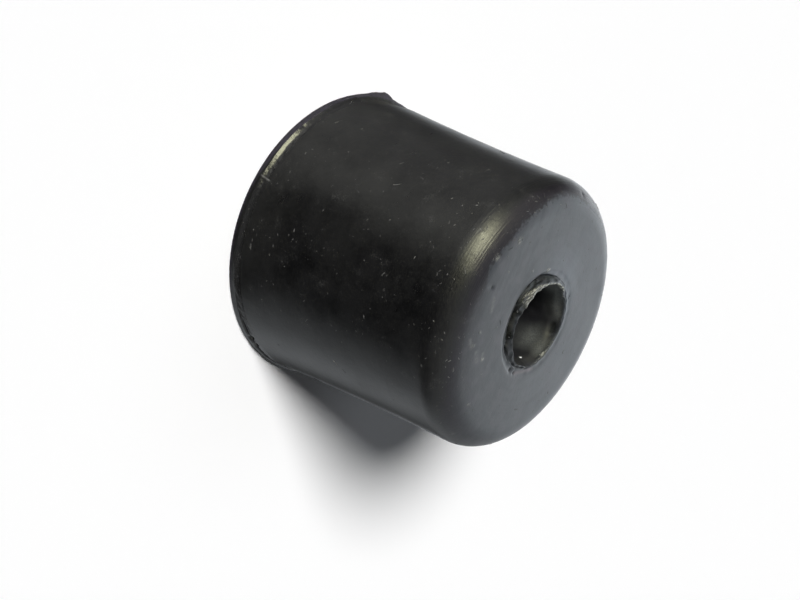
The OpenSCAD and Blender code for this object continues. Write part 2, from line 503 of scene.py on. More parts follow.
def rubberMaterial(s):
    material, tree = newMaterial("agedRubber")
    colours, shares, gloss, relief = s["colours"], s["shares"], s["gloss"], s["relief"]
    point = pointInMm(tree)
    split = addNode(tree, "ShaderNodeSeparateXYZ", {0: point}).outputs
    x, y, z = split["X"], split["Y"], split["Z"]
    radius = acrossAxis(tree, split)[1]
    noises = {name: noiseAt(tree, point, *look) for name, look in s["noise"].items()}
    speck, mottle, blotch, powder = (noises[name] for name in ("speck", "mottle", "blotch", "powder"))
    grains = {name: placeGroup(tree, grain, {"Point": point, **sizes}) for name, sizes in s["grain"].items()}
    dusts = {name: placeGroup(tree, dust, {"Point": point, **sizes}) for name, sizes in s["dust"].items()}
    specks = dusts["specks"]

    def step(value, name):
        return ramp(tree, value, *s["steps"][name])

    # where each finish lies: nose face, worn band on the roll, bore, lip
    speckShift = swing(tree, speck, shares["edgeSpeck"])
    cloudShift = swing(tree, noises["cloud"], shares["edgeCloud"])
    edge = plus(tree, attributeOf(tree, "faceEdge"), plus(tree, speckShift, cloudShift))
    soft = plus(tree, shares["edgeSoft"], step(x, "faceSoft"))
    onNose = step(z, "nose")
    face = times(tree, ramp(tree, edge, times(tree, soft, -1.0), soft), onNose)
    band = times(tree, step(edge, "band"), onNose)
    inBore = times(tree, step(radius, "boreWall"), step(z, "boreTop"))
    # pale torn rubber at the mouth, partly painted highlight, with crumb spots that paint sparkles
    torn = attributeOf(tree, "torn")
    # painted shade in the cracks, the lip's crease, the dents and round the mouth's bead
    crack = attributeOf(tree, "crack")
    # painted reflection: the lip's rim is paler, to its full height on one side and only along its foot on
    # the other, standing in for the pale surface below that it mirrors
    lipEdge = times(tree, step(minus(tree, z, step(x, "rimTop")), "rim"), step(speck, "rimSpeck"))
    corner = times(tree, step(z, "cornerLow"), step(z, "cornerHigh"), step(x, "cornerSide"))
    lipShine = times(tree, step(z, "shineLow"), step(z, "shineHigh"))
    # the flare is duller on the far side
    farFlare = times(tree, step(x, "farFlare"), step(z, "flareTop"))

    # marks
    smeary = times(tree, anyMark(tree, point, smears), step(speck, "smearSpeck"))
    pale = times(tree, anyMark(tree, point, paleScratches), shares["scratch"])
    pinkish = times(tree, anyMark(tree, point, flap), shares["flap"])
    cut = anyMark(tree, point, darkScratches)
    # painted highlight: the white glint inside the bore
    paintedGlint = maths(tree, "MULTIPLY", anyMark(tree, point, glints), shares["glint"], clamp=True)
    # painted shade in cracks, creases and dents, kept black and unreflecting, joined with the dark scratches
    crackShade = maths(tree, "MULTIPLY", crack, step(powder, "crackPowder"), clamp=True)
    hollow = maths(tree, "MAXIMUM", crackShade, cut)

    # colour of each finish
    wall = mixColour(tree, step(mottle, "wallMottle"), colours["wallDark"], colours["wallPale"])
    hazy = plus(tree, times(tree, dusts["haze"], shares["haze"]), step(z, "lowHaze"), clamp=True)
    swept = addNode(tree, "ShaderNodeMapping", {"Vector": point, "Scale": s["sweep"]}).outputs[0]
    smear = swing(tree, noiseAt(tree, swept, 1.0, s["sweepDetail"]), step(y, "smeared"))
    faceTone = gather(tree, times(tree, mottle, shares["mottleTone"]),
                      (grains["wideStreak"], shares["streakTone"]), (blotch, shares["blotchTone"]))
    # painted sheen: the far side of the face is paler, standing in for the bright window panel it mirrors
    across = gather(tree, y, (x, s["farSideSheenLean"]))
    faceTone = gather(tree, plus(tree, faceTone, smear), (across, shares["farSideSheen"]))
    faceColour = mixColour(tree, step(faceTone, "faceTone"), colours["faceDark"], colours["face"])
    faceColour = mixColour(tree, step(blotch, "facePink"), faceColour, colours["facePink"])
    # the bore's dust together with a painted lit patch and painted shade
    boreDustAndLightTone = times(tree, attributeOf(tree, "dusted"), step(powder, "powder"))
    boreColour = mixColour(tree, boreDustAndLightTone, colours["insideDark"], colours["inside"])
    tornAndLitColour = mixColour(tree, step(grains["torn"], "tornGrain"), colours["tornDark"], colours["torn"])

    # the finishes over the wall, from the lowest to the one on top
    colour = wall
    for share, finish in (
            (hazy, colours["haze"]), (band, colours["band"]), (face, faceColour), (inBore, boreColour),
            (corner, colours["cornerDust"]), (lipEdge, colours["lipEdge"]),
            (times(tree, specks, shares["specks"]), colours["dust"]), (smeary, colours["dust"]),
            (pale, colours["dust"]), (pinkish, colours["flap"]), (torn, tornAndLitColour),
            (paintedGlint, colours["glint"]), (hollow, colours["hollow"])):
        colour = mixColour(tree, share, colour, finish)

    # gloss
    dullTo = gather(tree, gloss["dullTo"], (soft, gloss["dullSoft"]))
    dull = times(tree, ramp(tree, edge, times(tree, soft, gloss["dullFrom"]), dullTo), step(z, "dullNose"))
    rough = atShare(tree, dull, gloss["wall"], gloss["face"])
    rough = plus(tree, rough, swing(tree, mottle, gloss["mottle"]))
    rough = plus(tree, rough, swing(tree, grains["streak"], gloss["streak"]))
    rough = gather(tree, rough, (plus(tree, specks, inBore), gloss["dusty"]), (lipShine, gloss["lip"]))
    rough = plus(tree, rough, farFlare)
    rough = plus(tree, rough, times(tree, hollow, gloss["hollow"]), clamp=True)

    # relief
    onRoll = times(tree, step(z, "rollHeight"), step(radius, "rollRadius"), step(x, "rollSide"))
    streakHeight = gather(tree, relief["streak"], (onRoll, relief["rollStreak"]))
    height = gather(tree, times(tree, noises["fine"], relief["fine"]), (grains["streak"], streakHeight),
                    (mottle, relief["mottle"]), (specks, relief["specks"]), (cut, relief["cut"]),
                    (times(tree, torn, speck), relief["torn"]), (times(tree, lipShine, speck), relief["lip"]))
    bumps = addNode(tree, "ShaderNodeBump", {"Height": height, "Distance": mm}).outputs[0]
    shader = addNode(tree, "ShaderNodeBsdfPrincipled", {"Base Color": colour, "Roughness": rough,
                     "Metallic": hollow, "Normal": bumps, "Specular IOR Level": gloss["mirror"]}).outputs[0]
    addNode(tree, "ShaderNodeOutputMaterial", {"Surface": shader})
    return material


# Shaping of the torn mouth, by turn round the bore's axis in degrees. Sizes in mm.
mouthByTurn = {
    # how far the bead leans into the bore
    "lean": ((-180, 0.10), (-160, 0.30), (-138, 0.42), (-122, 0.40), (-113, 0.70), (-107, 0.95), (-101, 0.70),
             (-88, 0.60), (-60, 0.48), (-32, 0.45), (-20, 0.12), (-9, -0.10), (9, -0.05), (27, -0.42),
             (45, -0.25), (62, -0.12), (88, -0.30), (110, -0.20), (128, -0.30), (145, 0.0), (165, 0.05)),
    # share of the bead's height that is left
    "height": ((-180, 0.9), (-150, 1.0), (-118, 0.95), (-108, 0.40), (-96, 0.35), (-60, 0.25), (-30, 0.15),
               (-12, 0.06), (35, 0.05), (60, 0.12), (90, 0.12), (130, 0.15), (150, 0.4), (165, 0.8)),
    # crack outside the bead: its depth, and the radius that it runs at
    "crack": ((-180, 0.08), (-165, 0.25), (-150, 0.4), (-122, 0.42), (-108, 0.3), (-98, 0.75), (-72, 0.8),
              (-58, 0.55), (-42, 0.30), (-25, 0.08), (-14, 0.22), (35, 0.25), (58, 0.32), (90, 0.45),
              (130, 0.42), (150, 0.12)),
    "crackRadius": ((-180, 5.45), (-160, 5.65), (-140, 5.95), (-125, 6.05), (-102, 5.85), (-92, 5.55),
                    (-80, 5.5), (-60, 5.5), (-40, 5.6), (-15, 5.4), (0, 5.36), (60, 5.26), (90, 5.25),
                    (130, 5.26), (150, 5.3)),
    "crackWidth": ((-180, 0.12), (-150, 0.18), (-118, 0.15), (-98, 0.18), (-60, 0.18), (-40, 0.15),
                   (-15, 0.13), (130, 0.12)),
    # pale line along the mouth's inner rim, partly a painted highlight along that edge
    "rimLine": ((-180, 1.0), (-165, 1.2), (-150, 1.1), (-130, 0.9), (-112, 0.6), (-100, 0.05), (-60, 0.05),
                (-20, 0.05), (40, 0.05), (56, 0.25), (68, 0.15), (80, 0.0), (150, 0.1), (165, 0.8)),
    # pale torn rubber, 0 to 1, and the radius that it reaches out to. It is partly a painted highlight,
    # strongest where the torn edge faces the key lamp.
    "torn": ((-180, 0.35), (-168, 0.6), (-150, 0.9), (-125, 1.0), (-110, 1.0), (-102, 0.35), (-95, 0.15),
             (-70, 0.1), (-20, 0.05), (20, 0.1), (36, 0.25), (52, 0.5), (68, 0.4), (80, 0.15), (120, 0.15),
             (150, 0.35)),
    "tornOut": ((-180, 5.1), (-165, 5.15), (-150, 5.25), (-138, 5.40), (-125, 5.54), (-115, 5.62),
                (-106, 5.58), (-100, 5.3), (-90, 5.15), (40, 5.3), (80, 5.35), (140, 5.3)),
    # share of the moat that is left
    "moat": ((-180, 0.3), (-160, 0.7), (-140, 1.0), (-60, 1.0), (-35, 0.7), (-10, 0.25), (30, 0.12),
             (150, 0.12)),
    # painted shade on the outer side of the bead: how dark, and the radius that it starts from
    "beadShade": ((-180, 0.3), (-168, 0.55), (-150, 0.68), (-125, 0.74), (-108, 0.60), (-100, 0.68), (-70, 0.80),
              (-45, 0.74), (-30, 0.55), (-15, 0.5), (10, 0.5), (40, 0.8), (60, 1.1), (90, 1.2), (120, 1.0),
              (150, 0.3)),
    "beadShadeIn": ((-180, 5.2), (-150, 5.3), (-125, 5.54), (-110, 5.62), (-103, 4.2), (-30, 4.2), (0, 5.1),
                (60, 5.02), (140, 5.02)),
    # how dark the face is just outside the crack
    "shade": ((-180, 0.0), (-125, 0.0), (-98, 0.5), (-60, 0.42), (-40, 0.25), (-20, 0.0)),
}
mouthSizes = {
    "faceHeight": 31.0, "boreRadius": 5,
    "reach": 7.2, "deepest": 21,             # how far out and how deep the mouth is reshaped
    "coarse": (0.9, 3.0), "fine": (0.30, 11.0), "sweep": 2.4,    # size and seed of its unevenness
    # how much of the coarse and the fine unevenness each takes
    "leanRough": (0.06, 0.05), "crackRough": (0.10, 0.05), "wallRough": (0.07, 0.03),
    "tornRough": (0.06, 0.05),
    "bead": (5.0, 5.62), "leanFrom": (29.5, 30.9), "leanRoughFrom": (30.3, 31.0),
    "crumble": 0.35,                         # unevenness of what is left of the bead
    "moat": (5.6, 6.42),
    "crackStart": 5.12, "crackUneven": 0.5,
    "sink": 0.08, "sinkRadius": 5.9, "sinkWidth": 0.5, "sinkStart": 5.3,    # soft hollow around the crack
    "wallRadius": 5.25, "wallTop": 30.9,     # the bore's own wall
    "rim": (30.85, 31.05), "rimRadius": 5.05, "rimWidth": 0.11,
    "tornFoot": (30.5, 30.95), "tornEdge": (-0.04, 0.06), "tornUneven": 0.9, "tornThin": 0.25,
    # the dark line in the crack is painted shade
    "line": 1.2, "lineMost": 0.8, "lineWidth": 0.9,              # dark line in the crack
    "beadShadeEdge": (-0.05, 0.08), "beadShadeFoot": (30.4, 30.8), "beadShadeEnd": (0.0, 0.14),
    "beadShadeMean": 0.8, "beadShadeUneven": 0.9, "beadShadeLeast": 0.3,
    "shadeStart": (-0.1, 0.1), "shadeEnd": (0.45, 0.95), "shadeWander": 0.08,
    "pitDark": (0.3, 0.8), "pitShade": 0.6,
    "dusted": 0.10, "boreDustAndLightRough": 0.08,
}
# one pit in the bore, its middle darkened by painted shade: "long" is its length to a degree of turn, and
# "flat" squeezes its height
borePit = {"turn": 92, "height": 30.2, "size": 0.55, "depth": 0.3, "long": 0.055, "flat": 1.4, "uneven": 0.3}
# Patches in the bore, partly dust and partly painted light and shade: pale patches where light falls on the
# far wall, dark ones where shade falls by the rim.
# Turn, height, half width in degrees, half height, and how pale, less than 0 where the patch is dark.
boreLightShadeAndDust = (
    (70, 28.4, 18, 1.3, 0.80), (60, 30.2, 14, 0.45, 0.5), (120, 29.9, 9, 0.9, 0.36), (134, 30.3, 6, 0.6, 0.3),
    (93, 30.2, 6, 0.4, -0.8), (84, 30.1, 6, 0.35, -0.6), (28, 29.6, 15, 1.5, -0.8), (98, 27.5, 12, 1.4, -0.3),
    (110, 30.5, 7, 0.4, 0.5), (152, 29.9, 16, 1.3, 0.75), (22, 30.2, 10, 0.7, -0.5), (58, 30.5, 6, 0.3, 0.3),
)
# Where specks gather: turn, height, radius, size and how thickly.
dustHeaps = (
    (-113, 30.75, 14.1, 0.6, 8.0), (-108, 30.8, 13.9, 0.6, 9.0), (-122, 31.0, 13.0, 0.5, 9.0),
    (-107, 31.0, 12.6, 0.5, 3.0), (-134, 30.7, 14.3, 1.2, 4.0), (-146, 30.2, 15.0, 1.4, 4.0),
    (-118, 27.0, 16.3, 1.2, 2.0), (-96, 28.6, 16.0, 1.3, 2.0), (-137, 24.5, 16.4, 1.6, 1.6),
    (-88, 4.0, 17.9, 2.6, 2.2), (-76, 8.0, 17.5, 2.4, 1.8), (-118, 1.6, 18.3, 1.2, 2.5),
    (-84, 15.0, 17.0, 2.0, 1.4), (-147, 6.0, 17.7, 1.2, 2.0), (-66, 29.6, 15.3, 1.4, 2.5),
    (-75, 31.0, 12.2, 1.0, 2.0), (-20, 28.0, 16.1, 1.6, 1.5), (60, 9.0, 17.4, 2.5, 1.8),
    (150, 20.0, 16.5, 2.5, 1.8), (15, 16.0, 17.0, 2.2, 1.6), (100, 25.0, 16.4, 2.0, 1.5),
)
# Spots of bright crumbs: turn, height, radius, size and how much. The one in the bore at turn 31 helps paint
# the glint there, and the two on the roll at turns -112 and -104 paint sparkles in the nose's highlight.
crumbHeaps = (
    (31, 29.4, 5.0, 0.15, 1.0), (-73, 31.0, 11.0, 0.14, 0.6), (-66, 31.0, 11.5, 0.16, 0.6),
    (-54, 31.0, 9.7, 0.16, 0.7), (-31, 31.0, 12.6, 0.12, 0.6), (-130, 31.0, 7.6, 0.12, 0.6),
    (-122.5, 31.0, 12.9, 0.28, 0.6), (-108.5, 30.85, 13.8, 0.26, 0.6),
    (-154, 31.0, 6.4, 0.22, 0.9), (-31, 1.2, 18.5, 0.25, 0.8), (-26.5, 1.2, 18.5, 0.22, 0.7),
    (-19, 30.0, 15.7, 0.25, 0.8), (-112, 28.9, 15.9, 0.35, 0.5), (-104, 29.4, 15.4, 0.3, 0.4),
)
# Small dents and pits: turn, height, radius, size and depth. The deeper they are, the more painted shade
# darkens their middles.
dents = (
    (-175, 30.1, 15.0, 0.28, 0.12), (-97, 31.0, 12.0, 0.22, 0.14), (-96, 31.0, 12.3, 0.16, 0.10),
    (-31, 1.15, 18.6, 0.34, 0.40), (-26.5, 1.2, 18.5, 0.26, 0.34),
    (-12, 31.0, 6.0, 0.35, 0.16), (-3, 31.0, 6.1, 0.22, 0.12),
)
dentLook = {"faceFrom": 29, "dark": (0.35, 0.9), "shadePerMm": 3}
# radius of the greyed nose face's edge, by turn
faceEdge = ((-180, 14.3), (-154, 14.5), (-142, 14.3), (-118, 14.0), (-103, 13.8), (-96, 13.0), (-88, 12.6),
            (-72, 12.5), (-60, 12.6), (-45, 13.1), (-20, 14.8), (10, 15.6), (60, 15.2), (120, 14.8))
# The face's edge is worn down on one side: share by turn, radius and half width of the worn ring, and depth.
wornEdge = {"share": ((-112, 0.0), (-92, 1.0), (-35, 1.0), (0, 0.4), (30, 0.0)), "radius": 13.5, "width": 1.5,
            "from": (26, 28), "depth": 0.13}
lipMarks = {
    "reach": 17, "coarse": (1.1, 5.0), "fine": (0.4, 8.0),
    # share of the hollow flare that is spread up the wall as a long slope
    "spread": ((-180, 0.0), (-98, 0.0), (-90, 1.0), (-52, 1.0), (-40, 0.3), (-30, 0.0), (60, 0.0)),
    "spreadFoot": 1, "spreadTop": 6.5,
    # a burr on the lip, and behind it a nick in the lip and a cut into the flare
    "burr": ((-150, 0.0), (-157, 0.12), (-162, 0.36), (-166, 0.45), (-168.5, 0.28), (-171, 0.0)),
    "burrFoot": (0.05, 0.35), "burrTop": (0.55, 1.3), "burrUneven": 0.3,
    "nick": ((-180, 0.20), (-174, 0.15), (-169, 0.0), (148, 0.0), (158, 0.13), (168, 0.22)),
    "nickTop": (0.9, 2.0),
    "burrCut": ((-180, 0.36), (-167, 0.36), (-156, 0.12), (-146, 0.0), (150, 0.0), (168, 0.3)),
    "cutFoot": (0.6, 1.15), "cutTop": (1.3, 4.0),
    "scallop": 0.05, "scallopFoot": (0.1, 0.5), "scallopTop": (1.05, 1.9),
    # the foot of the flare is drawn in, so that the lip's edge ends in a crisp step
    "step": ((-180, 0.04), (-150, 0.04), (-128, 0.09), (-98, 0.09), (-86, 0.0), (-44, 0.0), (0, 0.04)),
    "stepFoot": 1.01, "stepRise": 0.30, "stepTop": (1.4, 2.2),
    "beading": 0.05, "beadingFoot": (0.95, 1.05), "beadingTop": (1.5, 1.9),
    # a crease in the flare's foot, with painted shade along it
    "crease": ((-44, 0.0), (-39, 0.12), (-34, 0.22), (-24, 0.22), (-12, 0.16), (0, 0.10), (8, 0.0)),
    "creaseHeight": 1.22, "creaseWidth": 0.10, "creaseUneven": 0.5, "creaseWander": 0.05, "creaseShade": 5,
}
# How thickly dust lies: most near the nose, little in the bore, none on the back face or deep in the bore.
settling = {"foot": (0.4, 1.2), "wall": 0.55, "nose": 0.45, "noseFrom": (20, 29), "boreRadius": 5.3,
            "bore": 0.25, "boreFloor": 25}


def around(turns, pairs):
    # the value at each turn, straight between given stops and joined all the way round
    stops, values = zip(*pairs)
    return np.interp(turns, stops, values, period=360)


def between(turns, pairs):
    # as above, but 0 outside the first and last stops
    stops, values = zip(*sorted(pairs))
    return np.interp(turns, stops, values, left=0, right=0)


def ease(values, low, high):
    share = np.clip((values - low) / (high - low), 0, 1)
    return share * share * (3 - 2 * share)


def fade(values, low, high):
    return 1 - ease(values, low, high)


def bell(distance, width):
    return np.exp(-(distance / width) ** 2)


def ragged(places, size, seed):
    shift = Vector((seed, -seed, 0.5 * seed))
    return np.array([noise.noise(Vector(p) / size + shift) for p in places])


def readPlaces(mesh):
    places = np.empty(len(mesh.vertices) * 3)
    mesh.vertices.foreach_get("co", places)
    return places.reshape(-1, 3) * 1000


def cylinder(places):
    turn = np.degrees(np.arctan2(places[:, 1], places[:, 0]))
    return turn, np.hypot(places[:, 0], places[:, 1]), places[:, 2]


def fromCylinder(turn, radius, height):
    angle = np.radians(turn)
    return np.stack([radius * np.cos(angle), radius * np.sin(angle), height], axis=1)


def patchAt(places, turn, height, radius, size):
    # 1 at a spot on the body, fading away round it
    centre = np.array(onWall(turn, height, radius))
    return bell(np.linalg.norm(places - centre, axis=1), size)


def wholeMask(places, chosen, values):
    mask = np.zeros(len(places))
    mask[chosen] = np.clip(values, 0, 1)
    return mask


def tearMouth(places, byTurn, s, pit):
    turn, radius, height = cylinder(places)
    near = (radius < s["reach"]) & (height > s["deepest"])
    turn, radius, height, spots = turn[near], radius[near], height[near], places[near]
    by = {name: around(turn, pairs) for name, pairs in byTurn.items()}
    coarse = ragged(spots, *s["coarse"])
    # finer unevenness is drawn out along the mouth's edge
    swept = spots * np.array((1, 1, 0)) / radius[:, None] * s["boreRadius"] / s["sweep"]
    swept[:, 2] = height - radius
    fine = ragged(swept, *s["fine"])

    def uneven(name):
        return s[name][0] * coarse + s[name][1] * fine

    # the bead leans in or is cut back, and loses height where it is cut
    onBead = fade(radius, *s["bead"])
    shift = by["lean"] * onBead * ease(height, *s["leanFrom"])
    newRadius = radius - (shift + uneven("leanRough") * onBead * ease(height, *s["leanRoughFrom"]))
    above = np.clip(height - s["faceHeight"], 0, None)
    newHeight = height - above * (1 - by["height"]) + above * s["crumble"] * fine
    inMoat = (radius > s["moat"][0]) & (radius < s["moat"][1])
    newHeight += np.where(inMoat, (s["faceHeight"] - height) * (1 - by["moat"]), 0)
    # crack beside it, and the soft hollow around it
    crackDepth = by["crack"] * (1 + s["crackUneven"] * coarse)
    crackRadius = by["crackRadius"] + uneven("crackRough")
    pastStart = radius > s["crackStart"]
    newHeight -= crackDepth * (bell(radius - crackRadius, by["crackWidth"]) * pastStart)
    newHeight -= (s["sink"] * bell(radius - s["sinkRadius"], s["sinkWidth"]) * (0.5 + 0.5 * coarse)
                  * (radius > s["sinkStart"]))
    # the bore wall is uneven, with one pit darkened by painted shade
    inside = (radius < s["wallRadius"]) & (height < s["wallTop"])
    newRadius += np.where(inside, uneven("wallRough"), 0)
    away = np.hypot((turn - pit["turn"]) * pit["long"], (height - pit["height"]) * pit["flat"])
    hole = bell(away + pit["uneven"] * coarse, pit["size"]) * inside
    newRadius += pit["depth"] * hole
    places[near] = fromCylinder(turn, newRadius, newHeight)

    # masks for the finish: pale torn rubber that is partly a painted highlight, painted shade in the crack
    # and on the bead, and dust with painted light and shade in the bore
    tornOut = by["tornOut"] + uneven("tornRough")
    onEdge = fade(radius - tornOut, *s["tornEdge"]) * ease(height, *s["tornFoot"])
    rimLine = by["rimLine"] * bell(radius - s["rimRadius"], s["rimWidth"]) * ease(height, *s["rim"])
    torn = (by["torn"] * onEdge * (1.0 + s["tornUneven"] * fine) - s["tornThin"] * (1 - by["torn"])
            + rimLine * (1 + fine))
    crackShadeLine = (np.clip(crackDepth * s["line"], 0, s["lineMost"])
                * bell(radius - crackRadius, by["crackWidth"] * s["lineWidth"]) * pastStart)
    outside = ease(radius - by["beadShadeIn"], *s["beadShadeEdge"]) * ease(height, *s["beadShadeFoot"])
    outside *= fade(radius - crackRadius, *s["beadShadeEnd"])
    beadShade = by["beadShade"] * outside * np.clip(s["beadShadeMean"] + s["beadShadeUneven"] * fine, s["beadShadeLeast"], 1)
    beyond = radius - crackRadius - s["shadeWander"] * coarse
    shade = by["shade"] * ease(beyond, *s["shadeStart"]) * fade(beyond, *s["shadeEnd"])
    # painted shade: the line in the crack, the bead's outer side, the face beside the crack and the pit
    dark = np.maximum(np.maximum(crackShadeLine, beadShade), shade) + s["pitShade"] * ease(hole, *s["pitDark"])
    dusted = s["dusted"] + s["boreDustAndLightRough"] * coarse
    for patchTurn, patchHeight, halfTurn, halfHeight, amount in boreLightShadeAndDust:
        across = bell((turn - patchTurn) / halfTurn, 1)
        dusted = dusted + amount * across * bell((height - patchHeight) / halfHeight, 1)
    return [wholeMask(places, near, values) for values in (torn, dark, dusted)]


# the plain wall in mm, for marks that reshape it
faceLevel = (crestHeight - bodyShape["beadSide"] - bodyShape["beadWidth"] / 2) / mm
rootRadius = (lipRadius - bodyShape["lipOut"]) / mm
topRadius = bodyShape["topRadius"] / mm
bow = bodyShape["waistBow"] / mm


def shapeLip(places, s):
    turn, radius, height = cylinder(places)
    low = (height < s["spreadTop"]) & (radius > s["reach"])
    turn, radius, height, spots = turn[low], radius[low], height[low], places[low]
    coarse = ragged(spots, *s["coarse"])
    fine = ragged(spots, *s["fine"])
    # the same lip with its flare run out up the wall as one long slope
    rise = height / faceLevel
    plainWall = rootRadius - (rootRadius - topRadius) * rise - 4 * bow * rise * (1 - rise)
    flareOut = lipRadius / mm - (rootRadius - (rootRadius - topRadius + 4 * bow) / faceLevel)
    slope = np.clip((height - s["spreadFoot"]) / (s["spreadTop"] - s["spreadFoot"]), 0, 1)
    longFlare = plainWall + flareOut * (1 - slope) ** 2
    onFlare = height > s["spreadFoot"]
    radius = radius + around(turn, s["spread"]) * np.where(onFlare, longFlare - radius, 0)

    burrRim = ease(height, *s["burrFoot"]) * fade(height, *s["burrTop"])
    rim = ease(height, *s["scallopFoot"]) * fade(height, *s["scallopTop"])
    newRadius = radius + between(turn, s["burr"]) * burrRim * (1 + s["burrUneven"] * fine)
    newRadius = newRadius + s["scallop"] * coarse * rim
    newRadius -= around(turn, s["nick"]) * fade(height, *s["nickTop"])
    newRadius -= around(turn, s["burrCut"]) * ease(height, *s["cutFoot"]) * fade(height, *s["cutTop"])
    stepShare = np.clip((height - s["stepFoot"]) / s["stepRise"], 0, 1) * fade(height, *s["stepTop"])
    newRadius -= around(turn, s["step"]) * stepShare
    newRadius += s["beading"] * fine * ease(height, *s["beadingFoot"]) * fade(height, *s["beadingTop"])
    crease = between(turn, s["crease"]) * (1 + s["creaseUneven"] * coarse)
    gap = bell(height - s["creaseHeight"] - s["creaseWander"] * coarse, s["creaseWidth"])
    newRadius -= crease * gap
    places[low] = fromCylinder(turn, newRadius, height)
    return wholeMask(places, low, crease * s["creaseShade"] * gap)


def pressDents(places, marks, s):
    outward = fromCylinder(cylinder(places)[0], 1, 0 * places[:, 2])
    dentShadeMask = np.zeros(len(places))
    for *spot, depth in marks:
        dent = patchAt(places, *spot)
        # dents on the face go down, dents on the wall go in
        inward = 0.0 if spot[1] > s["faceFrom"] else 1.0
        places -= depth * dent[:, None] * (inward * outward + (1 - inward) * np.array((0, 0, 1)))
        dentShadeMask = np.maximum(dentShadeMask, ease(dent, *s["dark"]) * min(depth * s["shadePerMm"], 1))
    return dentShadeMask


def wearEdge(places, s):
    turn, radius, height = cylinder(places)
    worn = between(turn, s["share"]) * bell(radius - s["radius"], s["width"]) * ease(height, *s["from"])
    places[:, 2] -= s["depth"] * worn


def dustOn(places, s):
    radius, height = cylinder(places)[1:]
    dusty = ease(height, *s["foot"]) * (s["wall"] + s["nose"] * ease(height, *s["noseFrom"]))
    dusty = dusty * np.where(radius < s["boreRadius"], s["bore"], 1.0)
    dusty *= np.where((radius < s["boreRadius"]) & (height < s["boreFloor"]), 0, 1)
    for *spot, amount in dustHeaps:
        dusty += amount * patchAt(places, *spot)
    return dusty


def markBody(mesh):
    # shapes the marks and leaves masks of them, for the rubber's finish and for what is strewn on it
    places = readPlaces(mesh)
    turn, radius = cylinder(places)[:2]
    dusty = dustOn(places, settling)
    lipCreaseShade = shapeLip(places, lipMarks)
    torn, mouthShade, dusted = tearMouth(places, mouthByTurn, mouthSizes, borePit)
    for *spot, amount in crumbHeaps:
        torn = np.maximum(torn, amount * patchAt(places, *spot))
    wearEdge(places, wornEdge)
    dentShade = pressDents(places, dents, dentLook)
    mesh.vertices.foreach_set("co", (places / 1000).ravel())
    masks = {
        "torn": torn, "crack": np.maximum(np.maximum(lipCreaseShade, mouthShade), dentShade),
        "dusty": dusty, "dusted": dusted,
        "faceEdge": around(turn, faceEdge) - radius,     # distance in from the greyed face's edge
    }
    for name, values in masks.items():
        attribute = mesh.attributes.new(name, "FLOAT", "POINT")
        attribute.data.foreach_set("value", values.astype(np.float32))
    mesh.update()


rubber = rubberMaterial(rubberLook)
body = madePlain("rubberBody", outlineMesh(bodyOutline(bodyShape)), turnedBodyTree(),
                 {**turning, "Rubber": rubber})
markBody(body.data)
print("body turned and marked: %d faces" % len(body.data.polygons))


def randomIn(tree, low, high, seed):
    inputs = {2: low, 3: high, "Seed": seed}
    return addNode(tree, "FunctionNodeRandomValue", inputs, data_type="FLOAT").outputs[1]


def strew(tree, g, density, shape, spin, scale):
    # the shape at points strewn over the start mesh, each flat on it and spun round its own upright
    inputs = {"Mesh": g["Surface"], "Density": density, "Seed": g["Seed"]}
    points = addNode(tree, "GeometryNodeDistributePointsOnFaces", inputs).outputs
    spun = addNode(tree, "FunctionNodeAxisAngleToRotation", {"Axis": (0, 0, 1), "Angle": spin}).outputs[0]
    inputs = {0: points["Rotation"], 1: spun}
    turned = addNode(tree, "FunctionNodeRotateRotation", inputs, rotation_space="LOCAL").outputs[0]
    inputs = {"Points": points["Points"], "Instance": shape, "Rotation": turned, "Scale": scale}
    placed = addNode(tree, "GeometryNodeInstanceOnPoints", inputs).outputs[0]
    return addNode(tree, "GeometryNodeRealizeInstances", {"Geometry": placed}).outputs[0]


def maskNamed(tree, name):
    return addNode(tree, "GeometryNodeInputNamedAttribute", {"Name": name}, data_type="FLOAT").outputs[0]


flakeShape = {"clumpFrom": 0.5, "clumpTo": (0.35, 0.35), "sizeBias": 2.2, "jagScale": 9000.0, "jag": 0.35}


